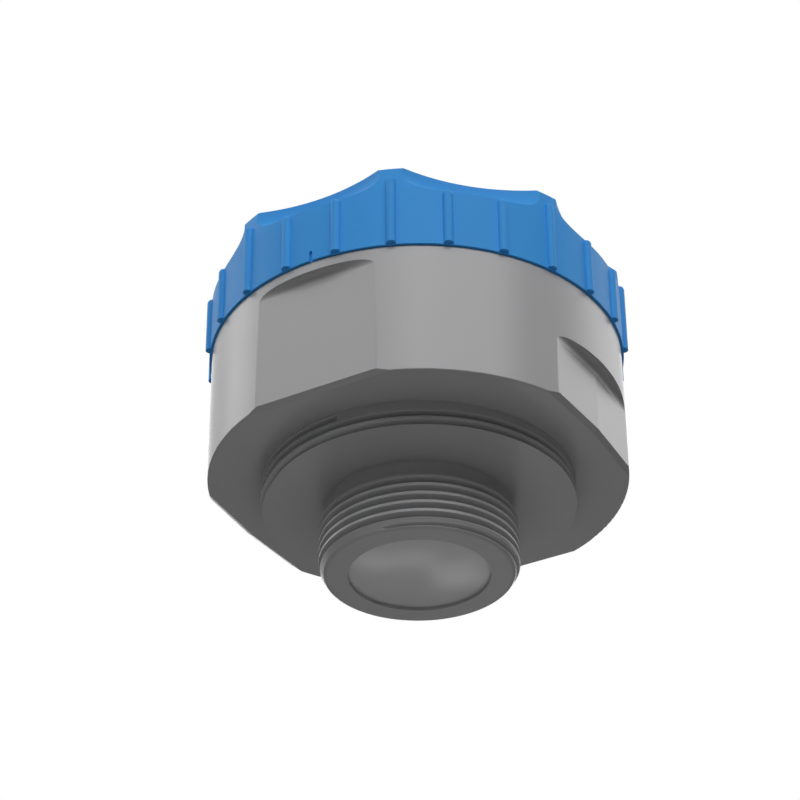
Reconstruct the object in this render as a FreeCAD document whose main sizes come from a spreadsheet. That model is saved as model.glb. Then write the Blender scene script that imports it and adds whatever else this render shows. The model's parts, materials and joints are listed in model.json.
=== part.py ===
import FreeCAD, Part
import Sketcher
import math
import os

# Battery-powered radar distance sensor with a hand-opened screw cap.
# Millimetres, +Z up. The origin is the centre of the spigot's end face, which the sensor stands on.

Vector = FreeCAD.Vector
Placement = FreeCAD.Placement
Rotation = FreeCAD.Rotation

doc = FreeCAD.newDocument("radar_distance_sensor")

# Driving dimensions
SIZES = {
    # spigot with its pipe thread, left plain at the crest radius
    "spigot_radius": 23.9, "spigot_length": 18.35, "lead_in": 2.2,
    "thread_length": 11.6, "thread_depth": 1.5, "end_opening_radius": 17.0,
    # mounting collar above the spigot
    "collar_radius": 38.0, "collar_height": 6.4, "collar_edge": 0.2,
    # body with two pairs of wrench flats, each short one split in two facets by an upright ridge
    "body_radius": 50.9, "body_height": 34.55, "body_round": 0.3, "floor_thickness": 3.75,
    "tall_flat_depth": 2.5, "tall_flat_height": 32.25, "tall_flat_angle": -119.2,
    "short_flat_depth": 2.6, "short_flat_height": 17.95, "short_flat_angle": -29.1,
    "short_flat_split": 3.0, "flat_chamfer": 1.3, "flat_chamfer_height": 0.9, "flat_fillet": 2.0,
    # threaded neck under the cap
    "shoulder_width": 3.6, "neck_height": 11.2, "neck_wall": 2.8, "neck_chamfer": 0.8,
    "ledge_width": 1.5,
    # screw cap
    "cap_overhang": 0.6, "rim_gap": 0.3, "thread_play": 0.1, "stop_gap": 0.1, "cap_wall": 3.0,
    "cap_draft": 0.3, "cap_edge_round": 0.5,
    "lobe_count": 8, "scoop_radius": 53.0, "scoop_depth": 6.1, "scoop_height": 7.3,
    "scoop_round": 6.0, "lobe_angle": -96.7,
    "rib_radius": 1.2, "rib_sink": 0.05, "rib_start": 0.35,
    "lobe_rib_drop": 3.1, "mark_width": 1.0, "mark_height": 2.8, "mark_depth": 0.8,
    "mark_angle": -118.9,
    "cap_seal_section": 1.2, "seal_play": 0.1,
    # lens and horn in the spigot
    "lip_thickness": 0.9, "lens_bore_radius": 18.6, "lens_play": 0.1, "lens_rim": 2.2,
    "lens_bulge": 0.8, "lens_hub": 1.0, "lens_seal_section": 1.3,
    "horn_mouth_radius": 14.6, "horn_throat_radius": 1.6, "horn_rim_height": 3.0,
    "horn_head_radius": 6.0, "horn_head_height": 2.4, "horn_wall": 2.4,
    # boards
    "board_thickness": 1.6, "board_play": 0.6, "boss_height": 4.0, "boss_radius": 3.2,
    "boss_inset": 5.4, "spacer_height": 8.0, "spacer_radius": 2.8,
    "screw_radius": 1.2, "screw_head_radius": 2.75, "screw_head_height": 1.8, "screw_grip": 3.2,
    "screw_play": 0.05, "screw_clearance": 0.3, "socket_radius": 1.4, "socket_depth": 1.0,
    "screw_count": 4, "board_screw_angle": 45.0, "tray_screw_angle": 0.0,
    "tray_screw_grip": 8.0, "tray_gap": 2.8,
    "chip_side": 8.0, "chip_height": 1.0, "can_side": 24.0, "can_height": 4.5, "can_wall": 0.4,
    "processor_side": 12.0, "processor_height": 1.2,
    "radio_length": 22.0, "radio_width": 18.0, "radio_height": 2.3,
    "capacitor_radius": 3.2, "capacitor_length": 20.0,
    # battery tray
    "cell_radius": 13.1, "cell_length": 50.0, "cell_play": 0.3, "cell_shoulder": 1.2,
    "cell_stud_radius": 3.5, "cell_stud_height": 1.5,
    "tray_floor": 2.5, "tray_wall": 1.8, "tray_wall_height": 18.0, "tray_play": 0.3,
    "saddle_height": 5.0, "saddle_width": 3.0, "saddle_spread": 12.0,
    "tray_boss_radius": 3.4, "contact_room": 3.6, "contact_thickness": 0.4, "contact_width": 9.0,
    "pin_radius": 1.0, "strap_width": 14.0, "strap_thickness": 1.5, "strap_foot": 9.0,
    "strap_play": 0.1, "strap_room": 2.0, "contact_gap": 0.1,
    # flexible printed antennas on the inner wall
    "film_thickness": 0.4, "film_play": 0.1, "film_rise": 2.2,
    "radio_film_height": 14.0, "radio_film_angle": 35.0, "radio_film_span_angle": 110.0,
    "tag_film_height": 14.0, "tag_film_angle": -73.0, "tag_film_span_angle": 32.0,
    "tag_film_band": 3.0,
}

sheet = doc.addObject("Spreadsheet::Sheet", "dims")
for row, (alias, value) in enumerate(SIZES.items(), start=1):
    sheet.set("A%d" % row, alias)
    sheet.set("B%d" % row, str(value))
    sheet.setAlias("B%d" % row, alias)

# Sizes and heights that follow from the driving ones
DERIVED = {
    "spigot_core": "spigot_radius - thread_depth",
    "thread_top": "lead_in + thread_length",
    "collar_z": "spigot_length",
    "body_z": "collar_z + collar_height",
    "floor_z": "body_z + floor_thickness",
    "shoulder_z": "body_z + body_height",
    "neck_radius": "body_radius - shoulder_width",
    "neck_z": "shoulder_z + neck_height",
    "cavity_radius": "neck_radius - neck_wall",
    "lower_radius": "cavity_radius - ledge_width",
    "board_z": "floor_z + boss_height",
    "main_z": "board_z + board_thickness + spacer_height",
    "ledge_z": "main_z + board_thickness + tray_gap",
    "tray_circle": "lower_radius - tray_boss_radius + ledge_width",
    "board_radius": "tray_circle - tray_boss_radius - board_play",
    "board_circle": "board_radius - boss_inset",
    "boss_hole": "screw_radius + screw_play",
    "board_hole": "screw_radius + screw_clearance",
    "tray_radius": "cavity_radius - tray_play",
    "tray_wall_reach": "film_radius - film_thickness - tray_play",
    "tray_top": "ledge_z + tray_floor",
    "cell_offset": "cell_radius + cell_play",
    "cell_z": "tray_top + cell_play + cell_radius",
    "cell_top": "cell_z + cell_radius",
    "cell_end": "cell_length / 2",
    "contact_y": "cell_end + contact_room",
    "tray_half": "cell_offset + cell_radius + cell_play",
    "tray_wall_top": "tray_top + tray_wall_height",
    "bow_half": "contact_width / 2 - 2 * contact_thickness",
    "contact_height": "cell_z + contact_width / 2 - tray_top",
    "flat_reach": "contact_room - contact_gap",
    "stud_reach": "flat_reach - cell_stud_height",
    "strap_z": "cell_top + cell_play",
    "roof_z": "strap_z + strap_thickness + strap_room",
    "cap_top": "roof_z + cap_wall",
    "rim_z": "shoulder_z + rim_gap",
    "skirt_radius": "body_radius + cap_overhang",
    "cap_bore": "neck_radius + thread_play",
    "stop_z": "neck_z + stop_gap",
    "seal_bore": "neck_radius + 2 * cap_seal_section + 2 * seal_play",
    "seal_roof": "rim_z + 2 * cap_seal_section + 4 * seal_play",
    "waist_radius": "skirt_radius - scoop_depth",
    "cap_cavity": "waist_radius - cap_wall",
    "scoop_z": "cap_top - scoop_height",
    "scoop_axis": "waist_radius + scoop_radius",
    "scoop_angle": "lobe_angle - 180 / lobe_count",
    "rib_step": "120 / lobe_count",
    "draft_z": "scoop_z + scoop_round / 6",
    "rib_circle": "skirt_radius - rib_sink",
    "rib_bottom": "rim_z + rib_start",
    "rib_top": "scoop_z + 0.2",
    "lobe_rib_top": "cap_top - lobe_rib_drop",
    "lens_radius": "lens_bore_radius - lens_play",
    "lens_top": "lip_thickness + lens_rim",
    "lens_hub_radius": "lens_radius - 2 * lens_seal_section - lens_play",
    "dome_half": "end_opening_radius - lens_play",
    "dome_radius": "(dome_half * dome_half + lens_bulge * lens_bulge) / (2 * lens_bulge)",
    "horn_radius": "lens_bore_radius - 2 * lens_play",
    "horn_neck_z": "horn_top - horn_head_height",
    "horn_z": "lens_top + 2 * lens_seal_section + 2 * seal_play",
    "horn_top": "board_z - seal_play",
    "film_radius": "cavity_radius - film_play",
    "film_z": "tray_top + film_rise",
    "tag_margin": "asin(tag_film_band / film_radius) / 1 deg",
}
first = len(SIZES) + 2
for row, (alias, formula) in enumerate(DERIVED.items(), start=first):
    sheet.set("A%d" % row, alias)
    sheet.set("B%d" % row, "=" + formula)
    sheet.setAlias("B%d" % row, alias)
doc.recompute()


def linked(formula):
    """The formula with every sheet name pointed at the sheet."""
    words, word = [], ""
    for letter in str(formula) + " ":
        if letter.isalnum() or letter == "_":
            word += letter
            continue
        words.append("dims." + word if word in SIZES or word in DERIVED else word)
        words.append(letter)
        word = ""
    return "".join(words).strip()


def size(formula):
    """The formula's present value in millimetres or degrees."""
    value = sheet.evalExpression(linked(formula))
    return float(getattr(value, "Value", value))


def bind(item, **sizes):
    for prop, formula in sizes.items():
        item.setExpression(prop, linked(formula))
    return item


def place(item, x="0", y="0", z="0"):
    for axis, formula in (("x", x), ("y", y), ("z", z)):
        item.setExpression("Placement.Base." + axis, linked(formula))
    return item


def spin(item, angle):
    """Turns a piece about the middle axis."""
    item.Placement = Placement(Vector(0, 0, 0), Rotation(Vector(0, 0, 1), size(angle)))
    item.setExpression("Placement.Rotation.Angle", "(%s) * 1 deg" % linked(angle))
    return item


def body(label):
    item = doc.addObject("PartDesign::Body", label)
    item.Label = label
    return item


def origin(item, role):
    return next(f for f in item.Origin.OriginFeatures if f.Role == role)


def sketch(item, name, plane="XZ_Plane", height="0", turn="0"):
    """A sketch on an origin plane: raised along Z on XY, or turned about Z on XZ."""
    sk = item.newObject("Sketcher::SketchObject", name)
    sk.AttachmentSupport = [(origin(item, plane), "")]
    sk.MapMode = "FlatFace"
    if plane == "XY_Plane":
        sk.setExpression("AttachmentOffset.Base.z", linked(height))
    else:
        sk.AttachmentOffset = Placement(Vector(0, 0, 0), Rotation(Vector(0, 1, 0), size(turn)))
        sk.setExpression("AttachmentOffset.Rotation.Angle", "(%s) * 1 deg" % linked(turn))
    return sk


def pin_point(sk, index, end, x, y):
    """Ties one end of a sketch line or arc to sheet distances from the sketch's origin."""
    for kind, formula in (("DistanceX", x), ("DistanceY", y)):
        value = size(formula)
        if abs(value) < 1e-9:
            axis = -2 if kind == "DistanceX" else -1
            sk.addConstraint(Sketcher.Constraint("PointOnObject", index, end, axis))
            continue
        number = sk.addConstraint(Sketcher.Constraint(kind, -1, 1, index, end, value))
        sk.setExpression("Constraints[%d]" % number, linked(formula))


def outline(sk, points):
    """A closed outline. Each point is (x, y) or (x, y, radius, side), the last two for the arc that
    leaves it, with side +1 where the arc bulges to the right of its travel."""
    ends, total = [], len(points)
    for n, point in enumerate(points):
        after = points[(n + 1) % total]
        a = Vector(size(point[0]), size(point[1]), 0)
        b = Vector(size(after[0]), size(after[1]), 0)
        if len(point) == 2:
            index = sk.addGeometry(Part.LineSegment(a, b))
            ends.append((index, 1, 2))
            continue
        radius, side = size(point[2]), point[3]
        chord = b - a
        rise = radius - math.sqrt(max(radius ** 2 - (chord.Length / 2) ** 2, 0.0))
        right = Vector(chord.y, -chord.x, 0).normalize()
        middle = (a + b) / 2 + right * rise * side
        # a sketch arc always runs anticlockwise, so one that bulges to the left is drawn backwards
        if side > 0:
            index = sk.addGeometry(Part.Arc(a, middle, b))
            ends.append((index, 1, 2))
        else:
            index = sk.addGeometry(Part.Arc(b, middle, a))
            ends.append((index, 2, 1))
        number = sk.addConstraint(Sketcher.Constraint("Radius", index, radius))
        sk.setExpression("Constraints[%d]" % number, linked(point[2]))
    for n, point in enumerate(points):
        index, start, _ = ends[n]
        before = ends[n - 1]
        sk.addConstraint(Sketcher.Constraint("Coincident", before[0], before[2], index, start))
        pin_point(sk, index, start, point[0], point[1])


def ring(sk, x, y, radius):
    index = sk.addGeometry(Part.Circle(Vector(size(x), size(y), 0), Vector(0, 0, 1), size(radius)))
    pin_point(sk, index, 3, x, y)
    number = sk.addConstraint(Sketcher.Constraint("Radius", index, size(radius)))
    sk.setExpression("Constraints[%d]" % number, linked(radius))


def axis_line(sk, x, low, high):
    """An upright construction line to turn a profile about."""
    line = Part.LineSegment(Vector(size(x), size(low), 0), Vector(size(x), size(high), 0))
    index = sk.addGeometry(line, True)
    pin_point(sk, index, 1, x, low)
    pin_point(sk, index, 2, x, high)


def turned(item, name, points, kind="Revolution"):
    sk = sketch(item, name + "_profile")
    outline(sk, points)
    feature = item.newObject("PartDesign::" + kind, name)
    feature.Profile = sk
    feature.ReferenceAxis = (sk, ["V_Axis"])
    feature.Angle = 360.0
    doc.recompute()
    return feature


def turned_aside(item, name, points, kind, centre, turn):
    """A profile turned about its own upright line, which stands off the middle axis."""
    sk = sketch(item, name + "_profile", turn=turn)
    outline(sk, points)
    heights = sorted((point[1] for point in points), key=size)
    axis_line(sk, centre, heights[0], heights[-1])
    feature = item.newObject("PartDesign::" + kind, name)
    feature.Profile = sk
    feature.ReferenceAxis = (sk, ["Axis0"])
    feature.Angle = 360.0
    doc.recompute()
    return feature


def pad(item, name, sk, length):
    feature = item.newObject("PartDesign::Pad", name)
    feature.Profile = sk
    feature.setExpression("Length", linked(length))
    doc.recompute()
    return feature


def pocket(item, name, sk, length, upward=False, midplane=False):
    feature = item.newObject("PartDesign::Pocket", name)
    feature.Profile = sk
    feature.Reversed = upward
    feature.Midplane = midplane
    feature.setExpression("Length", linked(length))
    doc.recompute()
    return feature


def around(item, feature, name, count):
    """Copies a feature about the middle axis and makes the pattern the body's last step."""
    pattern = item.newObject("PartDesign::PolarPattern", name)
    pattern.Originals = [feature]
    pattern.Axis = (origin(item, "Z_Axis"), [""])
    pattern.Angle = 360.0
    pattern.setExpression("Occurrences", linked(count))
    item.Tip = pattern
    doc.recompute()
    return pattern


def cylinder(name, radius, height, x="0", y="0", z="0"):
    item = doc.addObject("Part::Cylinder", name)
    return place(bind(item, Radius=radius, Height=height), x, y, z)


def block(name, length, width, height, x="0", y="0", z="0"):
    """A box centred on x and y that stands on z."""
    item = bind(doc.addObject("Part::Box", name), Length=length, Width=width, Height=height)
    return place(item, "%s - (%s) / 2" % (x, length), "%s - (%s) / 2" % (y, width), z)


def joined(name, parts):
    item = doc.addObject("Part::MultiFuse", name)
    item.Shapes = parts
    return item


def minus(name, base, tools):
    item = doc.addObject("Part::Cut", name)
    item.Base = base
    item.Tool = tools[0] if len(tools) == 1 else joined(name + "_tools", tools)
    return item


def common(name, shape, limit):
    item = doc.addObject("Part::Common", name)
    item.Base, item.Tool = shape, limit
    return item


def spots(name):
    """Formulas for a screw set's places on its circle, such as board_circle from board_screw_angle."""
    count = int(size("screw_count"))
    for n in range(count):
        turn = "((%s_screw_angle + %d * 360 / screw_count) * 1 deg)" % (name, n)
        yield "%s_circle * cos%s" % (name, turn), "%s_circle * sin%s" % (name, turn)


# Mounting spigot: welded face to face under the housing, with the collar and the lens seat
def make_spigot():
    item = body("mounting_spigot")
    turned(item, "spigot_wall", [
        ("end_opening_radius", "0"),
        ("spigot_radius - lead_in", "0", "lead_in", 1),
        ("spigot_radius", "lead_in"),
        ("spigot_radius", "thread_top"),
        ("spigot_core", "thread_top + thread_depth / 2"),
        ("spigot_core", "collar_z"),
        ("collar_radius - collar_edge", "collar_z"),
        ("collar_radius", "collar_z + collar_edge"),
        ("collar_radius", "body_z"),
        ("lens_bore_radius", "body_z"),
        ("lens_bore_radius", "lip_thickness"),
        ("end_opening_radius", "lip_thickness"),
    ])
    return item


# Housing: one moulding with the floor, the flats and the threaded neck
def make_housing():
    item = body("housing")
    turned(item, "housing_shell", [
        ("lens_bore_radius", "body_z"),
        ("body_radius - body_round", "body_z", "body_round", 1),
        ("body_radius", "body_z + body_round"),
        ("body_radius", "shoulder_z"),
        ("neck_radius", "shoulder_z"),
        ("neck_radius", "neck_z - neck_chamfer"),
        ("neck_radius - neck_chamfer", "neck_z"),
        ("cavity_radius", "neck_z"),
        ("cavity_radius", "ledge_z"),
        ("lower_radius", "ledge_z"),
        ("lower_radius", "floor_z"),
        ("lens_bore_radius", "floor_z"),
    ])
    for name, pair, angle in (("tall_flat", "tall", "tall_flat_angle"),
                              ("short_flat_left", "short", "short_flat_angle - short_flat_split"),
                              ("short_flat_right", "short", "short_flat_angle + short_flat_split")):
        face = "(body_radius - %s_flat_depth)" % pair
        top = "(body_z + %s_flat_height)" % pair
        sk = sketch(item, name + "_profile", turn=angle)
        outline(sk, [
            (face + " - 2 * flat_chamfer", "body_z - flat_chamfer_height"),
            (face, "body_z + flat_chamfer_height"),
            (face, top + " - flat_fillet", "flat_fillet", -1),
            (face + " + flat_fillet", top),
            ("body_radius + 5", top),
            ("body_radius + 5", "body_z - flat_chamfer_height"),
        ])
        cut = pocket(item, name, sk, "2 * body_radius", midplane=True)
        around(item, cut, name + "s", "2")
    for screws, radius, top, hole in (("board", "boss_radius", "board_z", "screw_grip"),
                                      ("tray", "tray_boss_radius", "ledge_z", "tray_screw_grip")):
        name = screws + "_boss"
        x, y = next(spots(screws))
        sk = sketch(item, name + "_profile", "XY_Plane", "floor_z")
        ring(sk, x, y, radius)
        boss = pad(item, name, sk, top + " - floor_z")
        around(item, boss, name + "es", "screw_count")
        sk = sketch(item, name + "_hole_profile", "XY_Plane", top)
        ring(sk, x, y, "boss_hole")
        bore = pocket(item, name + "_hole", sk, hole)
        around(item, bore, name + "_holes", "screw_count")
    return item


# Lens: a plano-convex disc that drops on the spigot's inner lip
def make_lens():
    item = body("antenna_lens")
    turned(item, "lens_disc", [
        ("0", "lip_thickness - lens_bulge", "dome_radius", 1),
        ("dome_half", "lip_thickness"),
        ("lens_radius", "lip_thickness"),
        ("lens_radius", "lens_top"),
        ("lens_hub_radius", "lens_top"),
        ("lens_hub_radius", "lens_top + lens_hub"),
        ("0", "lens_top + lens_hub"),
    ])
    return item


def make_lens_seal():
    item = doc.addObject("Part::Torus", "lens_seal")
    bind(item, Radius1="lens_radius - lens_seal_section", Radius2="lens_seal_section")
    return place(item, z="lens_top + lens_seal_section + seal_play")


# Horn: widens from the chip's waveguide to the lens and holds the lens seal down
def make_horn():
    item = body("horn_antenna")
    turned(item, "horn_wall", [
        ("horn_mouth_radius", "horn_z"),
        ("horn_radius", "horn_z"),
        ("horn_radius", "horn_z + horn_rim_height"),
        ("horn_mouth_radius + horn_wall / 4", "horn_z + horn_rim_height"),
        ("horn_throat_radius + horn_wall", "horn_neck_z"),
        ("horn_head_radius", "horn_neck_z"),
        ("horn_head_radius", "horn_top"),
        ("horn_throat_radius", "horn_top"),
        ("horn_throat_radius", "horn_neck_z"),
    ])
    return item


def round_board(label, z, centre_hole=None):
    disc = cylinder(label + "_disc", "board_radius", "board_thickness", z=z)
    holes = [cylinder("%s_hole_%d" % (label, n), "board_hole", "board_thickness + 2", x, y, z + " - 1")
             for n, (x, y) in enumerate(spots("board"))]
    if centre_hole:
        holes.append(cylinder(label + "_guide", centre_hole, "board_thickness + 2", z=z + " - 1"))
    return minus(label, disc, holes)


def make_shield_can():
    can = block("can_outside", "can_side", "can_side", "can_height", z="board_z + board_thickness")
    inside = block("can_inside", "can_side - 2 * can_wall", "can_side - 2 * can_wall", "can_height",
                   z="board_z + board_thickness - can_wall")
    return minus("shield_can", can, [inside])


def make_spacers():
    low = "board_z + board_thickness"
    tubes = []
    for n, (x, y) in enumerate(spots("board")):
        tube = cylinder("spacer_%d" % n, "spacer_radius", "spacer_height", x, y, low)
        bore = cylinder("spacer_bore_%d" % n, "board_hole", "spacer_height + 2", x, y, low + " - 1")
        tubes.append(minus("spacer_tube_%d" % n, tube, [bore]))
    return joined("board_spacers", tubes)


def make_screws(name, head_z, length):
    """Socket-head screws: length is the shank under the head."""
    label = name + "_screws"
    screws = []
    for n, (x, y) in enumerate(spots(name)):
        head = cylinder("%s_head_%d" % (label, n), "screw_head_radius", "screw_head_height", x, y, head_z)
        shank = cylinder("%s_shank_%d" % (label, n), "screw_radius", length, x, y,
                         "%s - (%s)" % (head_z, length))
        socket = doc.addObject("Part::Prism", "%s_socket_%d" % (label, n))
        socket.Polygon = 6
        bind(socket, Circumradius="socket_radius", Height="socket_depth + 1")
        place(socket, x, y, head_z + " + screw_head_height - socket_depth")
        solid = joined("%s_blank_%d" % (label, n), [head, shank])
        screws.append(minus("%s_%d" % (label, n), solid, [socket]))
    return joined(label, screws)


def make_capacitor():
    item = cylinder("buffer_capacitor", "capacitor_radius", "capacitor_length")
    item.Placement = Placement(Vector(0, 0, 0), Rotation(Vector(0, 1, 0), 90))
    return place(item, "-capacitor_length / 2", "-board_circle * 0.75", "main_z - capacitor_radius")


# Battery tray: a moulded plate on the housing's ledge with walls and saddles for two cells
def make_tray():
    plate = cylinder("tray_plate", "tray_radius", "tray_floor", z="ledge_z")
    length, width = "2 * contact_y + 2 * tray_wall", "2 * tray_half + 2 * tray_wall"
    frame = block("tray_frame", width, length, "tray_wall_height", z="tray_top")
    room = block("tray_room", "2 * tray_half", "2 * contact_y", "tray_wall_height + 1", z="tray_top")
    reach = cylinder("tray_wall_limit", "tray_wall_reach", "tray_wall_height", z="tray_top")
    walls = minus("tray_walls", common("tray_frame_in_body", frame, reach), [room])
    saddles = [block("saddle_%d" % n, "2 * tray_half", "saddle_width", "saddle_height",
                     y="%s * saddle_spread" % side, z="tray_top")
               for n, side in enumerate(("1", "-1"))]
    beds = [lying("cell_bed_%d" % n, "cell_radius + cell_play", "2 * contact_y", side + " * cell_offset",
                  "-contact_y")
            for n, side in enumerate(("1", "-1"))]
    seats = minus("saddles", joined("saddle_blocks", saddles), beds)
    holes = [cylinder("tray_hole_%d" % n, "board_hole", "tray_floor + 2", x, y, "ledge_z - 1")
             for n, (x, y) in enumerate(spots("tray"))]
    holes += [cylinder("pin_hole_%d" % n, "pin_radius + screw_play", "tray_floor + 2",
                       side + " * cell_offset", "contact_y - pin_radius", "ledge_z - 1")
              for n, side in enumerate(("1", "-1"))]
    return minus("battery_tray", joined("tray_blank", [plate, walls, seats]), holes)


def lying(name, radius, length, x, y):
    """A cylinder along +Y at the cells' height."""
    item = cylinder(name, radius, length)
    item.Placement = Placement(Vector(0, 0, 0), Rotation(Vector(1, 0, 0), -90))
    return place(item, x, y, "cell_z")


def make_cell(number, side, stud_up):
    """A cell with its stud at the +Y or the -Y end."""
    x = side + " * cell_offset"
    can = lying("cell_can_%d" % number, "cell_radius", "cell_length", x, "-cell_end")
    stud_y = "cell_end" if stud_up else "-cell_end - cell_stud_height"
    stud = lying("cell_stud_%d" % number, "cell_stud_radius", "cell_stud_height", x, stud_y)
    return joined("battery_cell_%d" % number, [can, stud])


def bow_height(reach):
    return "(%s - contact_thickness)" % reach


def bow_radius(half, rise):
    return "((%s) * (%s) + (%s) * (%s)) / (2 * (%s))" % (half, half, rise, rise, rise)


def make_contact(label, bows, width, turn, x, y):
    """A strip against the tray's end wall with sprung bows: each bow is (middle, reach)."""
    item = body(label)
    sk = sketch(item, label + "_profile", "XY_Plane")
    half, thick = "(%s) / 2" % width, "contact_thickness"
    points = [("-" + half, "0"), (half, "0"), (half, thick)]
    for middle, reach in bows:
        rise = bow_height(reach)
        points += [("%s + bow_half" % middle, thick, bow_radius("bow_half", rise), 1),
                   ("%s - bow_half" % middle, thick)]
    points.append(("-" + half, thick))
    outline(sk, points)
    pad(item, label + "_strip", sk, "contact_height")
    for n, (middle, reach) in enumerate(bows):
        inner = "(bow_half - contact_thickness)"
        rise = "(%s - contact_thickness)" % bow_height(reach)
        sk = sketch(item, "%s_hollow_%d_profile" % (label, n), "XY_Plane")
        outline(sk, [("%s + %s" % (middle, inner), thick, bow_radius(inner, rise), 1),
                     ("%s - %s" % (middle, inner), thick)])
        pocket(item, "%s_hollow_%d" % (label, n), sk, "contact_height", upward=True)
    item.Placement = Placement(Vector(0, 0, 0), Rotation(Vector(0, 0, 1), turn))
    return place(item, x, y, "tray_top")


def make_pins():
    low = "main_z + board_thickness"
    return joined("contact_pins", [
        cylinder("contact_pin_%d" % n, "pin_radius", "tray_top - (%s)" % low,
                 side + " * cell_offset", "contact_y - pin_radius", low)
        for n, side in enumerate(("1", "-1"))])


def make_strap():
    inside = "2 * (tray_half + tray_wall + strap_play)"
    leg_z = "tray_wall_top - strap_foot"
    height = "strap_z + strap_thickness - (%s)" % leg_z
    bridge = block("strap_bridge", inside + " + 2 * strap_thickness", "strap_width", height, z=leg_z)
    opening = block("strap_opening", inside, "strap_width + 2", "strap_z - (%s) + 1" % leg_z,
                    z=leg_z + " - 1")
    return minus("battery_strap", bridge, [opening])


def film(label, height, arc, angle, window=None):
    """A printed film that lies along the inner wall."""
    outer = bind(cylinder(label + "_outside", "film_radius", height, z="film_z"), Angle=arc)
    tools = [cylinder(label + "_inside", "film_radius - film_thickness", height + " + 2", z="film_z - 1")]
    if window:
        band, margin = window
        gap = cylinder(label + "_window", "film_radius + 1", "%s - 2 * %s" % (height, band))
        bind(gap, Angle="%s - 2 * %s" % (arc, margin))
        spin(gap, margin)
        tools.append(place(gap, z="film_z + " + band))
    return spin(minus(label, outer, tools), "%s - %s / 2" % (angle, arc))


def make_cap_seal():
    item = doc.addObject("Part::Torus", "cap_seal")
    bind(item, Radius1="neck_radius + seal_play + cap_seal_section", Radius2="cap_seal_section")
    return place(item, z="rim_z + cap_seal_section + 2 * seal_play")


# Cap: a turned shell with ribs, then scoops cut between the lobes
def make_cap():
    item = body("cap")
    turned(item, "cap_shell", [
        ("seal_bore", "rim_z"),
        ("skirt_radius", "rim_z"),
        ("skirt_radius", "draft_z"),
        ("skirt_radius - cap_draft", "cap_top - cap_edge_round", "cap_edge_round", 1),
        ("skirt_radius - cap_draft - cap_edge_round", "cap_top"),
        ("0", "cap_top"),
        ("0", "roof_z"),
        ("cap_cavity", "roof_z"),
        ("cap_cavity", "stop_z"),
        ("cap_bore", "stop_z"),
        ("cap_bore", "seal_roof"),
        ("seal_bore", "seal_roof"),
    ])
    for name, angle, top in (("lobe_rib", "lobe_angle", "lobe_rib_top"),
                             ("left_rib", "lobe_angle - rib_step", "rib_top"),
                             ("right_rib", "lobe_angle + rib_step", "rib_top")):
        rib = turned_aside(item, name, [
            ("rib_circle", "rib_bottom"),
            ("rib_circle + rib_radius", "rib_bottom"),
            ("rib_circle + rib_radius", top + " - rib_radius", "rib_radius", 1),
            ("rib_circle", top),
        ], "Revolution", "rib_circle", angle)
        around(item, rib, name + "s", "lobe_count")
    scoop = turned_aside(item, "scoop", [
        ("waist_radius", "cap_top + 1"),
        ("waist_radius", "scoop_z + scoop_round", "scoop_round", 1),
        ("waist_radius + scoop_round", "scoop_z"),
        ("scoop_axis", "scoop_z"),
        ("scoop_axis", "cap_top + 1"),
    ], "Groove", "scoop_axis", "scoop_angle")
    around(item, scoop, "scoops", "lobe_count")
    centre = "(skirt_radius - mark_depth + mark_width / 2)"
    turned_aside(item, "index_mark", [
        (centre, "rim_z - 1"),
        (centre + " + mark_width / 2", "rim_z - 1"),
        (centre + " + mark_width / 2", "rim_z + mark_height - mark_width / 2", "mark_width / 2", 1),
        (centre, "rim_z + mark_height"),
    ], "Groove", centre, "mark_angle")
    return item


BOARD_TOP, MAIN_TOP = "board_z + board_thickness", "main_z + board_thickness"
link_width = "2 * cell_offset + contact_width"
pieces = [
    make_housing(),
    make_spigot(),
    make_lens(),
    make_lens_seal(),
    make_horn(),
    round_board("radar_board", "board_z", "horn_throat_radius"),
    block("radar_chip", "chip_side", "chip_side", "chip_height", z=BOARD_TOP),
    make_shield_can(),
    make_spacers(),
    round_board("main_board", "main_z"),
    block("processor_chip", "processor_side", "processor_side", "processor_height",
          y="-board_circle / 2", z=MAIN_TOP),
    block("radio_module", "radio_length", "radio_width", "radio_height",
          y="board_circle / 2", z=MAIN_TOP),
    make_capacitor(),
    make_screws("board", MAIN_TOP,
                "main_z + board_thickness - board_z + screw_grip - screw_clearance"),
    make_tray(),
    make_screws("tray", "tray_top", "tray_floor + tray_screw_grip - screw_clearance"),
    make_cell(1, "-1", False),
    make_cell(2, "1", True),
    make_contact("series_link", [("cell_offset", "flat_reach"), ("-cell_offset", "stud_reach")],
                 link_width, 0, "0", "-contact_y"),
    make_contact("contact_leaf_1", [("0", "flat_reach")], "contact_width", 180, "-cell_offset", "contact_y"),
    make_contact("contact_leaf_2", [("0", "stud_reach")], "contact_width", 180, "cell_offset", "contact_y"),
    make_pins(),
    make_strap(),
    film("radio_antenna", "radio_film_height", "radio_film_span_angle", "radio_film_angle"),
    film("contactless_antenna", "tag_film_height", "tag_film_span_angle", "tag_film_angle",
         ("tag_film_band", "tag_margin")),
    make_cap_seal(),
    make_cap(),
]
for piece in pieces:
    piece.Label = piece.Name
doc.recompute()

# Every step must have worked before anything is written
for item in doc.Objects:
    if {"Invalid", "Error"} & set(item.State):
        raise RuntimeError("%s: %s" % (item.Name, item.State))
for piece in pieces:
    if piece.Shape.isNull() or not piece.Shape.isValid() or not piece.Shape.Solids:
        raise RuntimeError(piece.Label + " has no valid solid")

os.makedirs("parts", exist_ok=True)
for piece in pieces:
    piece.Shape.exportStep(os.path.join("parts", piece.Label + ".step"))
    print("%-20s %2d solids %10.1f mm3" % (piece.Label, len(piece.Shape.Solids), piece.Shape.Volume))
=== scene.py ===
import bpy
import bmesh
import json
import math
from mathutils import Matrix, Vector


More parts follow.
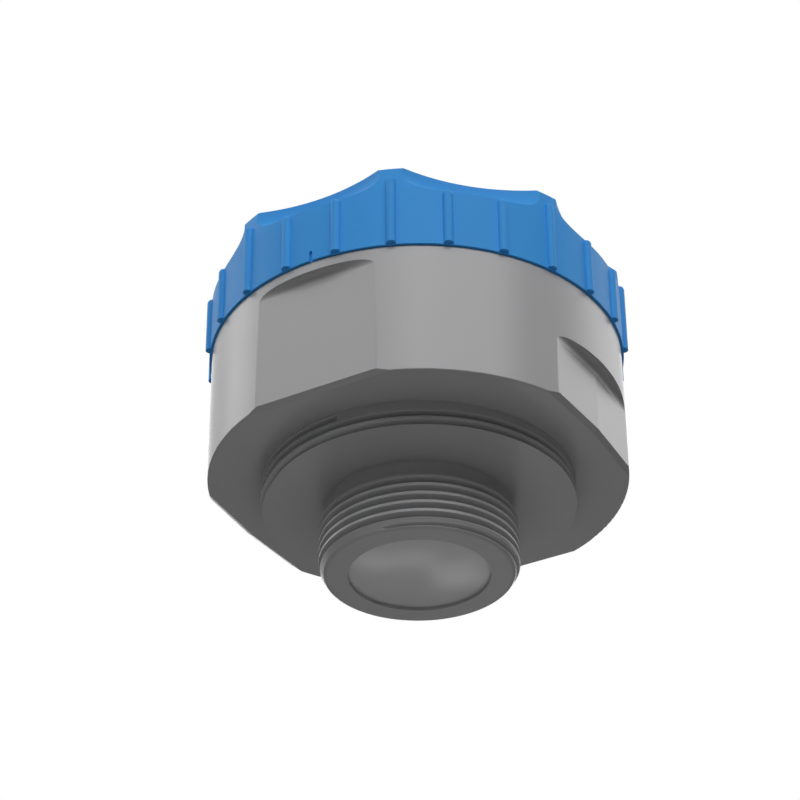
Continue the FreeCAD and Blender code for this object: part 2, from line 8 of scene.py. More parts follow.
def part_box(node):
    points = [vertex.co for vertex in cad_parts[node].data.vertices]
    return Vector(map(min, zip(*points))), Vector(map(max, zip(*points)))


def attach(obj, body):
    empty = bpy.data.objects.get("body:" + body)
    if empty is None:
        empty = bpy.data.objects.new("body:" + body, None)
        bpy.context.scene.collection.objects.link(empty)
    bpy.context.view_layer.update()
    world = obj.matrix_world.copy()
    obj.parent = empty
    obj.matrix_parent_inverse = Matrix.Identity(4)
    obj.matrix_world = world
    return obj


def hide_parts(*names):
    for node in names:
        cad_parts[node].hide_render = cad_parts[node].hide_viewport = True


# Battery radar distance sensor: a threaded grey moulding under a blue screw cap.
# Metres, +Z up, with the spigot's end face at the origin. Places round the sensor are azimuths in
# degrees: 0 is the side towards the camera, and they grow towards the right.

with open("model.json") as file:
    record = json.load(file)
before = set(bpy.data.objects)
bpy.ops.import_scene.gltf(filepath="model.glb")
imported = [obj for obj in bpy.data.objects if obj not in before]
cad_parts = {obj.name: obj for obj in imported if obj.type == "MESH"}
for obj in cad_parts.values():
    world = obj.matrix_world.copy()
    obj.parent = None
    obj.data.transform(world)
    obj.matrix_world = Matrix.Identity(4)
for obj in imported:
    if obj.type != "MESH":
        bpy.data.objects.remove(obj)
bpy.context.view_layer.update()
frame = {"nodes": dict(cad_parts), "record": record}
nodes = frame["nodes"]
print("frame loaded:", len(nodes), "nodes")

mm = 0.001
mergeWithin = 0.002 * mm  # points this close are one point, or lie at one height
ringWithin = 0.01 * mm  # a point this close to a ring's radius lies on it
outlineWithin = 0.1 * mm  # the same for a thread's outline, whose points lie further apart
smoothAngle = 28  # edges sharper than this many degrees stay sharp


def makeActive(piece):
    bpy.ops.object.select_all(action="DESELECT")
    piece.select_set(True)
    bpy.context.view_layer.objects.active = piece


def workingCopy(nodeName, pieceName):
    # the solid's loose triangles are joined into one closed skin, which keeps their shading
    piece = bpy.data.objects.new(pieceName, nodes[nodeName].data.copy())
    bpy.context.scene.collection.objects.link(piece)
    makeActive(piece)
    bpy.ops.object.mode_set(mode="EDIT")
    bpy.ops.mesh.select_all(action="SELECT")
    bpy.ops.mesh.remove_doubles(threshold=mergeWithin, use_sharp_edge_from_normals=True)
    bpy.ops.object.mode_set(mode="OBJECT")
    return piece


def applied(piece, kind, **settings):
    modifier = piece.modifiers.new(kind.lower(), kind)
    for name, value in settings.items():
        setattr(modifier, name, value)
    makeActive(piece)
    bpy.ops.object.modifier_apply(modifier=modifier.name)


def smoothed(piece):
    # broad faces keep their own shading, and the small ones beside them bend to meet it
    makeActive(piece)
    bpy.ops.mesh.customdata_custom_splitnormals_clear()
    bpy.ops.object.shade_smooth_by_angle(angle=math.radians(smoothAngle))
    applied(piece, "WEIGHTED_NORMAL", mode="FACE_AREA_WITH_ANGLE", keep_sharp=True)


def selectVerts(piece, wanted):
    # picks points in edit mode by their place
    mesh = bmesh.from_edit_mesh(piece.data)
    bpy.ops.mesh.select_all(action="DESELECT")
    for vertex in mesh.verts:
        vertex.select = wanted(vertex.co)
    mesh.select_flush_mode()
    bmesh.update_edit_mesh(piece.data)


def moveRing(piece, height, radius, newRadius):
    # in edit mode, the outermost ring of points at that height gets a new radius
    selectVerts(piece, lambda co: abs(co.z - height) < mergeWithin and co.xy.length > radius - ringWithin)
    share = newRadius / radius
    bpy.ops.transform.resize(value=(share, share, 1), center_override=(0, 0, 0))


def turnOf(azimuth):
    # radians about +Z from the +X axis
    return math.radians(azimuth - 90)


# Threads: a V outline is wound up the axis and cut out of the moulding
def grooveCutter(thread, crest, azimuth, height, turns, fadeDegrees):
    stepsPerTurn, depth = thread["stepsPerTurn"], thread["reaches"][2]
    root = crest - depth
    # a plane 2 mm wide without its face, whose upper and lower edges are cut in three: four columns
    bpy.ops.object.select_all(action="DESELECT")
    bpy.ops.mesh.primitive_plane_add(size=2 * mm, location=(0, 0, 0), rotation=(math.pi / 2, 0, 0))
    cutter = bpy.context.object
    cutter.name = "grooveCutter"
    bpy.ops.object.transform_apply(location=True, rotation=True, scale=True)
    bpy.ops.object.mode_set(mode="EDIT")
    bpy.ops.mesh.delete(type="ONLY_FACE")
    mesh = bmesh.from_edit_mesh(cutter.data)
    for edge in mesh.edges:
        edge.select = abs(edge.verts[0].co.z - edge.verts[1].co.z) < outlineWithin
    mesh.select_flush_mode()
    bmesh.update_edit_mesh(cutter.data)
    bpy.ops.mesh.subdivide(number_cuts=2)
    # each column gets its width and goes to its place outside the root
    for column, reach, half in zip((-1, -1 / 3, 1 / 3, 1), thread["reaches"], thread["halfWidths"]):
        selectVerts(cutter, lambda co: abs(co.x - column * mm) < outlineWithin)
        bpy.ops.transform.resize(value=(1, 1, half / mm), center_override=(0, 0, 0))
        bpy.ops.transform.translate(value=(root + reach - column * mm, 0, 0))
    bpy.ops.object.mode_set(mode="OBJECT")
    steps = int(stepsPerTurn * turns)
    applied(cutter, "SCREW", axis="Z", angle=math.tau * turns, screw_offset=thread["lead"] * turns,
            iterations=1, steps=steps, render_steps=steps)
    cutter.rotation_euler.z = turnOf(azimuth)
    cutter.location.z = height
    bpy.ops.object.transform_apply(location=True, rotation=True, scale=True)
    bpy.ops.object.mode_set(mode="EDIT")
    bpy.ops.mesh.select_all(action="SELECT")
    bpy.ops.mesh.fill_holes(sides=0)
    bpy.ops.mesh.select_all(action="SELECT")
    bpy.ops.mesh.normals_make_consistent(inside=False)
    # the first outlines are lifted towards the crest, so that the groove begins with no depth
    fadeSteps = int(fadeDegrees / 360 * stepsPerTurn) + 1 if fadeDegrees else 0
    quarterStep = math.tau / stepsPerTurn / 4
    outlineHalf = thread["halfWidths"][-1] + outlineWithin
    for step in range(fadeSteps):
        turn = step / stepsPerTurn
        angle = turnOf(azimuth) + math.tau * turn
        middle = height + thread["lead"] * turn
        selectVerts(cutter, lambda co: abs(co.z - middle) < outlineHalf
                    and abs(math.remainder(math.atan2(co.y, co.x) - angle, math.tau)) < quarterStep)
        share = (root + depth * (1 - turn * 360 / fadeDegrees)) / root
        bpy.ops.transform.resize(value=(share, share, 1), center_override=(0, 0, 0))
    bpy.ops.object.mode_set(mode="OBJECT")
    return cutter


def joined(pieces, name):
    makeActive(pieces[0])
    for piece in pieces:
        piece.select_set(True)
    bpy.ops.object.join()
    bpy.context.object.name = name
    return bpy.context.object


def cutAway(piece, cutter):
    applied(piece, "BOOLEAN", operation="DIFFERENCE", object=cutter, solver="EXACT")
    bpy.data.objects.remove(cutter)


# Mounting spigot: two pipe threads of one pitch, one round the spigot and one round the collar. Each
# groove has the azimuth and height of its middle at one end, its turns, and the degrees it fades in over
mountingThreads = {
    "lead": 2.309 * mm, "stepsPerTurn": 90,
    "halfWidths": [0.14 * mm, 0.56 * mm, 0.76 * mm, 1.00 * mm],  # root, under the crest, crest, outside
    "reaches": [0, 1.20 * mm, 1.48 * mm, 1.75 * mm],  # how far each of them lies outside the root
    "spigotCrest": 23.9 * mm,
    "spigotStart": -34, "spigotHeight": 0.472 * mm, "spigotTurns": 6.3, "spigotFade": 16,
    "collarCrest": 38.0 * mm, "collarFace": 18.35 * mm,
    "collarEnd": -29.7, "collarHeight": 23.57 * mm, "collarTurns": 2.2, "collarFade": 32,
    "coneRadius": 22.55 * mm, "coneHeight": 2.2 * mm,  # under the spigot's first thread
    "coneOutside": 21 * mm,  # the points nearer the axis than this belong to the lens's seat
}


def makeSpigot():
    t = mountingThreads
    piece = workingCopy("mounting_spigot", "threadedSpigot")
    points = [vertex.co.copy() for vertex in piece.data.vertices]
    bpy.ops.object.mode_set(mode="EDIT")
    # the end's round edge is drawn in ring by ring to a cone, which leads the nut on
    edge = [co for co in points if co.z < t["coneHeight"] and co.xy.length > t["coneOutside"]]
    for height in sorted({round(co.z, 6) for co in edge}):
        ring = max(co.xy.length for co in edge if abs(co.z - height) < mergeWithin)
        cone = t["coneRadius"] + (t["spigotCrest"] - t["coneRadius"]) * height / t["coneHeight"]
        if ring > cone:
            moveRing(piece, height, ring, cone)
    # the small bevel on the collar's edge is drawn out, which leaves it crisp
    rim = max(co.xy.length for co in points if abs(co.z - t["collarFace"]) < mergeWithin)
    moveRing(piece, t["collarFace"], rim, t["collarCrest"])
    bpy.ops.object.mode_set(mode="OBJECT")
    cutAway(piece, grooveCutter(t, t["spigotCrest"], t["spigotStart"], t["spigotHeight"],
                                t["spigotTurns"], t["spigotFade"]))
    turns = t["collarTurns"]  # counted back, because the photograph shows the upper end
    cutAway(piece, grooveCutter(t, t["collarCrest"], t["collarEnd"] - 360 * turns,
                                t["collarHeight"] - t["lead"] * turns, turns, t["collarFade"]))
    smoothed(piece)
    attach(piece, "housing")
    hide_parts("mounting_spigot")
    return piece


spigot = makeSpigot()
print("spigot and collar threads cut:", len(spigot.data.polygons), "faces")


# Neck: a steep thread of four starts, so that half a turn lifts the cap by 6 mm
neckThread = {
    "lead": 12 * mm, "starts": 4, "stepsPerTurn": 120,
    "halfWidths": [0.35 * mm, 0.74 * mm, 0.90 * mm, 1.05 * mm],
    "reaches": [0, 0.68 * mm, 0.90 * mm, 1.20 * mm],
    "azimuth": -20, "height": 62.7 * mm, "turns": 0.78, "fade": 14,
    "wallBand": 3 * mm,  # the neck's radius is read from its wall this far down from its end
    "plainBelow": 2 * mm,  # the solid's own shading begins this far below the start of the grooves
}
ridgeRise = 1.1 * mm  # the ridges in the cap begin this far up the same helix
capThread = dict(
    neckThread, turns=0.45, fade=0, height=neckThread["height"] + ridgeRise,
    azimuth=neckThread["azimuth"] + ridgeRise / neckThread["lead"] * 360,
    halfWidths=[0.20 * mm, 0.55 * mm, 0.70 * mm, 0.80 * mm],  # less than the grooves: a little play
    reaches=[0, 0.60 * mm, 0.78 * mm, 0.98 * mm])


def windStarts(t, crest, name):
    return joined([grooveCutter(t, crest, t["azimuth"] + start * 360 / t["starts"], t["height"],
                                t["turns"], t["fade"]) for start in range(t["starts"])], name)


def makeHousing():
    t = neckThread
    piece = workingCopy("housing", "threadedHousing")
    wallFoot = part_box("housing")[1][2] - t["wallBand"]
    crest = max(vertex.co.xy.length for vertex in piece.data.vertices if vertex.co.z > wallFoot)
    cutAway(piece, windStarts(t, crest, "neckCutter"))
    smoothed(piece)
    # below the thread the solid's own shading is taken over, which keeps the flats' edges crisp
    plainTop = t["height"] - t["plainBelow"]
    below = piece.vertex_groups.new(name="belowThread")
    below.add([vertex.index for vertex in piece.data.vertices if vertex.co.z < plainTop], 1.0, "REPLACE")
    plain = workingCopy("housing", "plainHousing")
    applied(piece, "DATA_TRANSFER", object=plain, use_loop_data=True, loop_mapping="NEAREST_POLYNOR",
            data_types_loops={"CUSTOM_NORMAL"}, vertex_group="belowThread")
    bpy.data.objects.remove(plain)
    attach(piece, "housing")
    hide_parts("housing")
    return piece, crest


def makeCapThread(crest):
    piece = windStarts(capThread, crest, "capThreadRidges")
    smoothed(piece)
    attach(piece, "cap")
    return piece


housing, neckCrest = makeHousing()
capRidges = makeCapThread(neckCrest)
print("neck thread cut and its ridges made:", len(housing.data.polygons), "faces, crest",
      round(neckCrest / mm, 2), "mm")


# Materials
def linearColour(hexText):
    channels = [int(hexText[i:i + 2], 16) / 255 for i in (1, 3, 5)]
    return [c / 12.92 if c <= 0.04045 else ((c + 0.055) / 1.055) ** 2.4 for c in channels] + [1.0]


def scaleFor(sizeMm, metresPerRepeat=1):
    # the scale that makes a pattern repeat every so many mm
    return metresPerRepeat / (sizeMm * mm)


def feed(tree, node, links):
    for socket, source in links.items():
        tree.links.new(source, node.inputs[socket])


def addNode(tree, kind, settings, links=None):
    # sockets go by name or number: in a colour Mix, 0 is the factor, 6 and 7 the colours, and 2 comes out
    node = tree.nodes.new(kind)
    for name, value in settings.items():
        if isinstance(name, int) or name in node.inputs:
            node.inputs[name].default_value = value
        else:
            setattr(node, name, value)
    feed(tree, node, links or {})
    return node


def newMaterial(name, **sockets):
    # patterns are placed by the piece's own coordinates, so they ride with it
    material = bpy.data.materials.new(name)
    material.use_nodes = True
    tree = material.node_tree
    shader = tree.nodes["Principled BSDF"]
    for socket, value in sockets.items():
        shader.inputs[socket.replace("_", " ")].default_value = value
    place = addNode(tree, "ShaderNodeTexCoord", {}).outputs["Object"]
    return material, tree, shader, place


plasticGrain = {"sizeMm": 0.5, "depthMm": 0.02}  # a real one is about 0.1 mm wide: coarser, so that it shows
plastics = {  # the grey, the blue and the lens follow the photograph; roughness is the least and the most
    "mouldedGreyPlastic": {"slot": "grey_plastic", "colours": ["#A8A8AA", "#ACACAE"], "ior": 1.5,
                           "shine": 0.5, "roughness": (0.30, 0.36), "cloudMm": 14, "grain": 0.25},
    "mouldedBluePlastic": {"slot": "blue_plastic", "colours": ["#42A1EF", "#45A3F0"], "ior": 1.45,
                           "shine": 0.15, "roughness": (0.47, 0.53), "cloudMm": 14, "grain": 0.25},
    "mouldedLensPlastic": {"slot": "lens_plastic", "colours": ["#C8C8C9", "#CECECF"], "ior": 1.5,
                           "shine": 0.5, "roughness": (0.13, 0.19), "cloudMm": 9, "grain": 0.05},
    "mouldedBlackTray": {"slot": "tray_plastic", "colours": ["#232425", "#292A2B"], "ior": 1.5,
                         "shine": 0.5, "roughness": (0.42, 0.48), "cloudMm": 10, "grain": 0.4},
    "naturalNylonSpacers": {"slot": "spacer_plastic", "colours": ["#E4DFD0", "#ECE8DC"], "ior": 1.53,
                            "shine": 0.5, "roughness": (0.47, 0.53), "cloudMm": 4, "grain": 0.2},
    "mouldedWhiteStrap": {"slot": "strap_plastic", "colours": ["#D5D6D3", "#DCDDDA"], "ior": 1.5,
                          "shine": 0.5, "roughness": (0.37, 0.43), "cloudMm": 8, "grain": 0.3},
}


def mouldedPlastic(name, look):
    # thermoplastic from a finely eroded steel tool: an even colour with faint flow clouds, and a grain
    # that spreads each reflection into a soft sheen
    material, tree, shader, place = newMaterial(name, IOR=look["ior"], Specular_IOR_Level=look["shine"])
    first, second = map(linearColour, look["colours"])
    least, most = look["roughness"]
    cloud = addNode(tree, "ShaderNodeTexNoise", {"Scale": scaleFor(look["cloudMm"]), "Detail": 3.0},
                    {"Vector": place})
    tone = addNode(tree, "ShaderNodeMix", {"data_type": "RGBA", 6: first, 7: second},
                   {0: cloud.outputs["Fac"]})
    gloss = addNode(tree, "ShaderNodeMapRange", {"To Min": least, "To Max": most},
                    {"Value": cloud.outputs["Fac"]})
    grain = addNode(tree, "ShaderNodeTexNoise", {"Scale": scaleFor(plasticGrain["sizeMm"]), "Detail": 2.0},
                    {"Vector": place})
    relief = addNode(tree, "ShaderNodeBump",
                     {"Strength": look["grain"], "Distance": plasticGrain["depthMm"] * mm},
                     {"Height": grain.outputs["Fac"]})
    feed(tree, shader, {"Base Color": tone.outputs[2], "Roughness": gloss.outputs["Result"],
                        "Normal": relief.outputs["Normal"]})
    return material


rubbers = {
    "pressedSealRubber": {"slot": "seal_rubber", "colours": ["#17181A", "#26282A"], "roughness": 0.72,
                          "bloomMm": 3, "reliefMm": 0.03, "relief": 0.3},
}


def pressedRubber(name, look):
    # black rubber from a hot press: matt, with a pale bloom in patches
    material, tree, shader, place = newMaterial(name, Roughness=look["roughness"])
    first, second = map(linearColour, look["colours"])
    bloom = addNode(tree, "ShaderNodeTexNoise", {"Scale": scaleFor(look["bloomMm"]), "Detail": 5.0},
                    {"Vector": place})
    tone = addNode(tree, "ShaderNodeMix", {"data_type": "RGBA", 6: first, 7: second},
                   {0: bloom.outputs["Fac"]})
    relief = addNode(tree, "ShaderNodeBump", {"Strength": look["relief"], "Distance": look["reliefMm"] * mm},
                     {"Height": bloom.outputs["Fac"]})
    feed(tree, shader, {"Base Color": tone.outputs[2], "Normal": relief.outputs["Normal"]})
    return material


waveRepeat = 0.314  # metres between the bands of a wave texture whose scale is 1
turnedMetals = {  # feed is how far the lathe's tool went in one turn
    "turnedHornMetal": {"slot": "horn_metal", "colours": ["#C9CACB", "#B9BBBD"], "roughness": (0.18, 0.32),
                        "feedMm": 0.25, "wander": 0.4, "hazeMm": 9, "reliefMm": 0.01, "relief": 0.35},
}


def turnedMetal(name, look):
    # metal off the lathe: rings round the sensor's axis catch the light as fine bright lines
    material, tree, shader, place = newMaterial(name, Metallic=1.0)
    first, second = map(linearColour, look["colours"])
    least, most = look["roughness"]
    rings = addNode(tree, "ShaderNodeTexWave",
                    {"wave_type": "RINGS", "rings_direction": "Z", "Distortion": look["wander"],
                     "Scale": scaleFor(look["feedMm"], waveRepeat)}, {"Vector": place})
    haze = addNode(tree, "ShaderNodeTexNoise", {"Scale": scaleFor(look["hazeMm"])}, {"Vector": place})
    tone = addNode(tree, "ShaderNodeMix", {"data_type": "RGBA", 6: first, 7: second},
                   {0: haze.outputs["Fac"]})
    gloss = addNode(tree, "ShaderNodeMapRange", {"To Min": least, "To Max": most},
                    {"Value": rings.outputs["Fac"]})
    relief = addNode(tree, "ShaderNodeBump", {"Strength": look["relief"], "Distance": look["reliefMm"] * mm},
                     {"Height": rings.outputs["Fac"]})
    feed(tree, shader, {"Base Color": tone.outputs[2], "Roughness": gloss.outputs["Result"],
                        "Normal": relief.outputs["Normal"]})
    return material


platings = {  # scratches have a width and a length along the axes, and are coarser than real ones to show
    "tinnedSteel": {"slot": "tin_plate", "colours": ["#C3C4C2", "#A9ABAA"], "roughness": (0.26, 0.44),
                    "scratchMm": (0.3, 6, 6), "hazeMm": 4},
    "zincPlatedSteel": {"slot": "screw_steel", "colours": ["#B4B6B4", "#9DA09F"], "roughness": (0.24, 0.42),
                        "scratchMm": (0.4, 0.4, 2), "hazeMm": 2},
    "nickelPlatedSpring": {"slot": "contact_nickel", "colours": ["#C8C5BC", "#B5B1A7"],
                           "roughness": (0.18, 0.36), "scratchMm": (5, 5, 0.2), "hazeMm": 4},
    "drawnBrass": {"slot": "pin_brass", "colours": ["#C9A55A", "#B8934A"], "roughness": (0.20, 0.38),
                   "scratchMm": (0.2, 0.2, 3), "hazeMm": 2},
}


def platedMetal(name, look):
    # a thin plating over stamped or drawn metal: drawn-out scratches break its shine along the strip
    material, tree, shader, place = newMaterial(name, Metallic=1.0)
    first, second = map(linearColour, look["colours"])
    least, most = look["roughness"]
    along = addNode(tree, "ShaderNodeMapping", {"Scale": [scaleFor(size) for size in look["scratchMm"]]},
                    {"Vector": place})
    scratch = addNode(tree, "ShaderNodeTexNoise", {"Scale": 1.0, "Detail": 4.0, "Roughness": 0.7},
                      {"Vector": along.outputs["Vector"]})
    haze = addNode(tree, "ShaderNodeTexNoise", {"Scale": scaleFor(look["hazeMm"])}, {"Vector": place})
    tone = addNode(tree, "ShaderNodeMix", {"data_type": "RGBA", 6: first, 7: second},
                   {0: haze.outputs["Fac"]})
    gloss = addNode(tree, "ShaderNodeMapRange", {"To Min": least, "To Max": most},
                    {"Value": scratch.outputs["Fac"]})
    feed(tree, shader, {"Base Color": tone.outputs[2], "Roughness": gloss.outputs["Result"]})
    return material


boards = {
    "lacqueredCircuitBoard": {"slot": "board_green", "lacquer": ["#1F5B3A", "#1C5335"], "roughness": 0.38,
                              "track": "#2F7A50", "trackMm": 5, "trackShare": 0.03, "trackBlur": 0.2,
                              "pad": "#D8C08A", "padMm": 3.2, "padShare": 0.14, "padScatter": 0.3,
                              "reliefMm": 0.04, "relief": 0.5},
}


def circuitBoard(name, look):
    # glass-fibre board under green lacquer: buried tracks show as paler lines, bare pads as bright dots
    material, tree, shader, place = newMaterial(name, Roughness=look["roughness"])
    first, second = map(linearColour, look["lacquer"])
    tracks = addNode(tree, "ShaderNodeTexBrick",
                     {"Scale": scaleFor(look["trackMm"]), "Mortar Size": look["trackShare"],
                      "Mortar Smooth": look["trackBlur"], "Mortar": linearColour(look["track"]),
                      "Color1": first, "Color2": second}, {"Vector": place})
    pads = addNode(tree, "ShaderNodeTexVoronoi",
                   {"Scale": scaleFor(look["padMm"]), "Randomness": look["padScatter"]}, {"Vector": place})
    bare = addNode(tree, "ShaderNodeMath", {"operation": "LESS_THAN", 1: look["padShare"]},
                   {0: pads.outputs["Distance"]})
    tone = addNode(tree, "ShaderNodeMix", {"data_type": "RGBA", 7: linearColour(look["pad"])},
                   {0: bare.outputs["Value"], 6: tracks.outputs["Color"]})
    relief = addNode(tree, "ShaderNodeBump", {"Strength": look["relief"], "Distance": look["reliefMm"] * mm},
                     {"Height": tracks.outputs["Fac"]})
    feed(tree, shader, {"Base Color": tone.outputs[2], "Metallic": bare.outputs["Value"],
                        "Normal": relief.outputs["Normal"]})
    return material


packages = {  # real grit is about 0.05 mm wide: coarser, so that it shows
    "mouldedChipPackage": {"slot": "chip_black", "colours": ["#1B1C1E", "#2A2C2E"], "roughness": 0.55,
                           "gritMm": 0.2, "reliefMm": 0.02, "relief": 0.4},
}


def chipPackage(name, look):
    # black moulding compound with glass grit: a dull charcoal that sparkles slightly up close
    material, tree, shader, place = newMaterial(name, Roughness=look["roughness"])
    first, second = map(linearColour, look["colours"])
    grit = addNode(tree, "ShaderNodeTexNoise", {"Scale": scaleFor(look["gritMm"]), "Detail": 1.0},
                   {"Vector": place})
    tone = addNode(tree, "ShaderNodeMix", {"data_type": "RGBA", 6: first, 7: second},
                   {0: grit.outputs["Fac"]})
    relief = addNode(tree, "ShaderNodeBump", {"Strength": look["relief"], "Distance": look["reliefMm"] * mm},
                     {"Height": grit.outputs["Fac"]})
    feed(tree, shader, {"Base Color": tone.outputs[2], "Normal": relief.outputs["Normal"]})
    return material


sleeves = {  # roughness is that of the film and that of the bare can
    "shrunkCellSleeve": {"slot": "cell_sleeve", "colours": ["#2F7A4A", "#357F50"], "can": "#B9BBBB",
                         "ior": 1.5, "roughness": (0.22, 0.34), "axis": "Y", "sleeveHalfMm": 24.9,
                         "wrinkleMm": 6, "reliefMm": 0.05, "relief": 0.3},
    "shrunkCapacitorSleeve": {"slot": "capacitor_sleeve", "colours": ["#20242C", "#272C36"],
                              "can": "#B9BBBB", "ior": 1.5, "roughness": (0.30, 0.34), "axis": "X",
                              "sleeveHalfMm": 9.9, "wrinkleMm": 2.5, "reliefMm": 0.05, "relief": 0.3},
}


def sleevedCan(name, look):
    # a shrunk sleeve over a metal can: glossy film with soft wrinkles, and bare metal at both ends
    material, tree, shader, place = newMaterial(name, IOR=look["ior"])
    first, second = map(linearColour, look["colours"])
    filmRoughness, canRoughness = look["roughness"]
    axes = addNode(tree, "ShaderNodeSeparateXYZ", {}, {"Vector": place})
    reach = addNode(tree, "ShaderNodeMath", {"operation": "ABSOLUTE"}, {0: axes.outputs[look["axis"]]})
    bare = addNode(tree, "ShaderNodeMath", {"operation": "GREATER_THAN", 1: look["sleeveHalfMm"] * mm},
                   {0: reach.outputs["Value"]})
    wrinkle = addNode(tree, "ShaderNodeTexNoise", {"Scale": scaleFor(look["wrinkleMm"]), "Detail": 2.0},
                      {"Vector": place})
    film = addNode(tree, "ShaderNodeMix", {"data_type": "RGBA", 6: first, 7: second},
                   {0: wrinkle.outputs["Fac"]})
    tone = addNode(tree, "ShaderNodeMix", {"data_type": "RGBA", 7: linearColour(look["can"])},
                   {0: bare.outputs["Value"], 6: film.outputs[2]})
    gloss = addNode(tree, "ShaderNodeMapRange", {"To Min": filmRoughness, "To Max": canRoughness},
                    {"Value": bare.outputs["Value"]})
    relief = addNode(tree, "ShaderNodeBump", {"Strength": look["relief"], "Distance": look["reliefMm"] * mm},
                     {"Height": wrinkle.outputs["Fac"]})
    feed(tree, shader, {"Base Color": tone.outputs[2], "Metallic": bare.outputs["Value"],
                        "Roughness": gloss.outputs["Result"], "Normal": relief.outputs["Normal"]})
    return material


films = {
    "printedAntennaFilm": {"slot": "film_amber", "film": "#B5731F", "copper": "#8A4A16", "ior": 1.6,
                           "roughness": 0.25, "trackMm": 1.8, "trackFrom": 0.6, "reliefMm": 0.03,
                           "relief": 0.6},
}


def printedFilm(name, look):
    # amber film with etched copper under it: level tracks show through as brown lines
    material, tree, shader, place = newMaterial(name, Roughness=look["roughness"], IOR=look["ior"])
    tracks = addNode(tree, "ShaderNodeTexWave",
                     {"bands_direction": "Z", "Scale": scaleFor(look["trackMm"], waveRepeat)},
                     {"Vector": place})
    copper = addNode(tree, "ShaderNodeMath", {"operation": "GREATER_THAN", 1: look["trackFrom"]},
                     {0: tracks.outputs["Fac"]})
    tone = addNode(tree, "ShaderNodeMix", {"data_type": "RGBA", 6: linearColour(look["film"]),
                                           7: linearColour(look["copper"])}, {0: copper.outputs["Value"]})
    relief = addNode(tree, "ShaderNodeBump", {"Strength": look["relief"], "Distance": look["reliefMm"] * mm},
                     {"Height": copper.outputs["Value"]})
    feed(tree, shader, {"Base Color": tone.outputs[2], "Normal": relief.outputs["Normal"]})
    return material


finishes = {}
for makeFinish, looks in ((mouldedPlastic, plastics), (pressedRubber, rubbers), (turnedMetal, turnedMetals),
                          (platedMetal, platings), (circuitBoard, boards), (chipPackage, packages),
                          (sleevedCan, sleeves), (printedFilm, films)):
    for name, look in looks.items():
        finishes[look["slot"]] = makeFinish(name, look)
for part in frame["record"]["subparts"]:
    nodes[part["node"]].material_slots[0].material = finishes[part["material_slot"]]
for piece, slot in ((spigot, "grey_plastic"), (housing, "grey_plastic"), (capRidges, "blue_plastic")):
    piece.data.materials.clear()
    piece.data.materials.append(finishes[slot])
print("materials made:", len(finishes))


# Studio: soft lamps round the sensor, a pale floor well below it, and a white surround
camera = {"place": (-4.240 * mm, -529.909 * mm, -297.678 * mm), "tilt": 123.253, "roll": -0.528,
          "lensMm": 115.45, "sensorMm": 36.0, "nearest": 10 * mm}


def placeCamera():
    bpy.ops.object.camera_add()
    view = bpy.context.object
    tilt = Matrix.Rotation(math.radians(camera["tilt"]), 4, "X")
    roll = Matrix.Rotation(math.radians(camera["roll"]), 4, "Z")
    view.matrix_world = Matrix.Translation(camera["place"]) @ tilt @ roll
    view.data.lens = camera["lensMm"]
    view.data.sensor_width = camera["sensorMm"]
    view.data.clip_start = camera["nearest"]
    bpy.context.scene.camera = view


lampAim = Vector((0, 0, 40 * mm))
lamps = {  # azimuth and elevation in degrees, distance, width and height in metres, watts
    "leftRear": (-108, 33, 0.8, 0.34, 0.52, 1.22),
    "left": (-60, 33, 0.8, 0.34, 0.52, 0.77),
    "front": (-12, 33, 0.8, 0.34, 0.52, 0.97),
    "frontRight": (24, 33, 0.8, 0.70, 0.52, 2.74),
    "right": (108, 33, 0.8, 0.34, 0.52, 0.66),
    "rightRear": (132, 33, 0.8, 0.34, 0.52, 0.48),
    "lowFront": (-20, -2, 0.8, 0.58, 0.34, 0.28),
    "rear": (-132, 33, 0.8, 0.34, 0.52, 0.11),
    "back": (180, 33, 0.8, 0.60, 0.52, 1.70),
    "lensRight": (174.4, -32.2, 0.62, 0.06, 0.09, 0.017),  # three small ones that only the domed lens mirrors
    "lensMiddle": (180, -38.0, 0.62, 0.05, 0.05, 0.008),
    "lensLeft": (186.0, -36.8, 0.62, 0.05, 0.05, 0.009),
}


def pointAt(azimuth, elevation, distance):
    turn, rise = turnOf(azimuth), math.radians(elevation)
    flat = math.cos(rise) * distance
    return Vector((flat * math.cos(turn), flat * math.sin(turn), math.sin(rise) * distance))


def placeLamps():
    for name, (azimuth, elevation, distance, width, height, watts) in lamps.items():
        place = lampAim + pointAt(azimuth, elevation, distance)
        bpy.ops.object.light_add(type="AREA", location=place)
        lamp = bpy.context.object
        lamp.name = name + "Softbox"
        lamp.data.shape = "RECTANGLE"
        lamp.data.size, lamp.data.size_y = width, height
        lamp.data.energy = watts
        lamp.visible_camera = False
        lamp.rotation_euler = (lampAim - place).to_track_quat("-Z", "Y").to_euler()


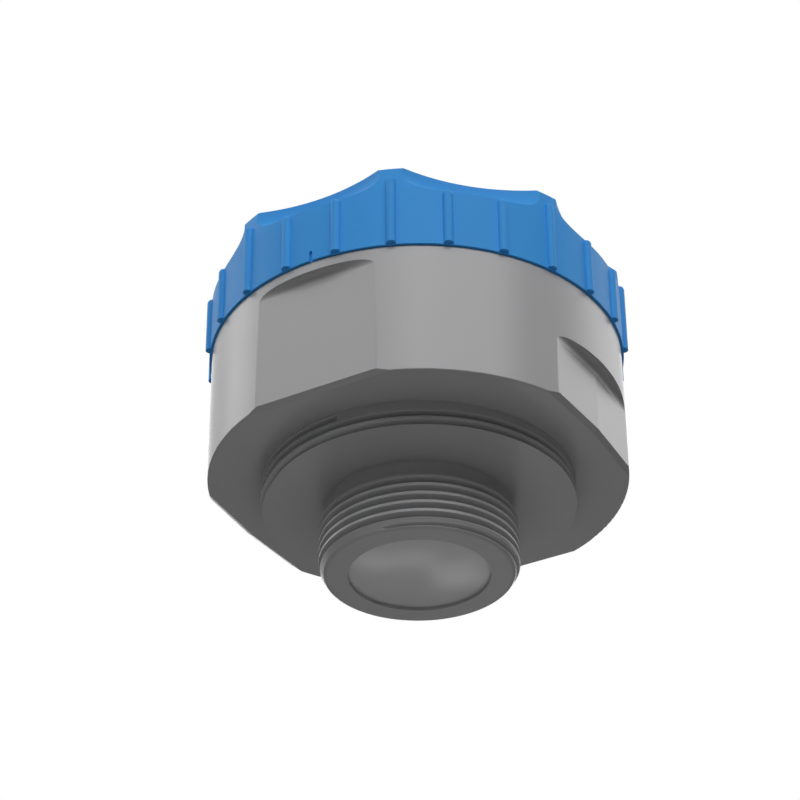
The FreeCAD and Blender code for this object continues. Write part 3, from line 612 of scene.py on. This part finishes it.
def makeSurround():
    # white where it is seen, mirrored or looked at through something, and dark to the light it would shed
    world = bpy.data.worlds.new("whiteRoom")
    bpy.context.scene.world = world
    world.use_nodes = True
    tree = world.node_tree
    tree.nodes.clear()
    ray = addNode(tree, "ShaderNodeLightPath", {})
    seen = addNode(tree, "ShaderNodeMath", {"operation": "ADD"},
                   {0: ray.outputs["Is Camera Ray"], 1: ray.outputs["Is Glossy Ray"]})
    clear = addNode(tree, "ShaderNodeMath", {"operation": "ADD", "use_clamp": True},
                    {0: seen.outputs["Value"], 1: ray.outputs["Is Transmission Ray"]})
    dark = addNode(tree, "ShaderNodeBackground", {"Strength": 0.0})
    white = addNode(tree, "ShaderNodeBackground", {"Color": (1, 1, 1, 1), "Strength": 1.0})
    both = addNode(tree, "ShaderNodeMixShader", {}, {0: clear.outputs["Value"], 1: dark.outputs["Background"],
                                                     2: white.outputs["Background"]})
    addNode(tree, "ShaderNodeOutputWorld", {}, {"Surface": both.outputs["Shader"]})


floorBoard = {  # height and size in metres
    "height": -0.45, "size": 24.0, "colours": ["#CACAC9", "#CECECD"], "cloudMm": 400,
    "roughness": 0.8, "glow": 1.1,
}


def layFloor():
    bpy.ops.object.select_all(action="DESELECT")
    bpy.ops.mesh.primitive_plane_add(size=floorBoard["size"], location=(0, 0, floorBoard["height"]))
    floor = bpy.context.object
    floor.name = "paleFloor"
    bpy.ops.object.transform_apply(location=True, rotation=True, scale=True)
    # painted board: matt, with faint roller clouds, and shown pale to the camera alone
    paint, tree, shader, place = newMaterial("paintedFloor", Roughness=floorBoard["roughness"])
    first, second = map(linearColour, floorBoard["colours"])
    cloud = addNode(tree, "ShaderNodeTexNoise", {"Scale": scaleFor(floorBoard["cloudMm"])},
                    {"Vector": place})
    tone = addNode(tree, "ShaderNodeMix", {"data_type": "RGBA", 6: first, 7: second},
                   {0: cloud.outputs["Fac"]})
    ray = addNode(tree, "ShaderNodeLightPath", {})
    glow = addNode(tree, "ShaderNodeMath", {"operation": "MULTIPLY", 1: floorBoard["glow"]},
                   {0: ray.outputs["Is Camera Ray"]})
    feed(tree, shader, {"Base Color": tone.outputs[2], "Emission Color": tone.outputs[2],
                        "Emission Strength": glow.outputs["Value"]})
    floor.data.materials.append(paint)


placeCamera()
placeLamps()
makeSurround()
layFloor()
bpy.context.scene.view_settings.view_transform = "Standard"
print("camera, lamps and floor placed")
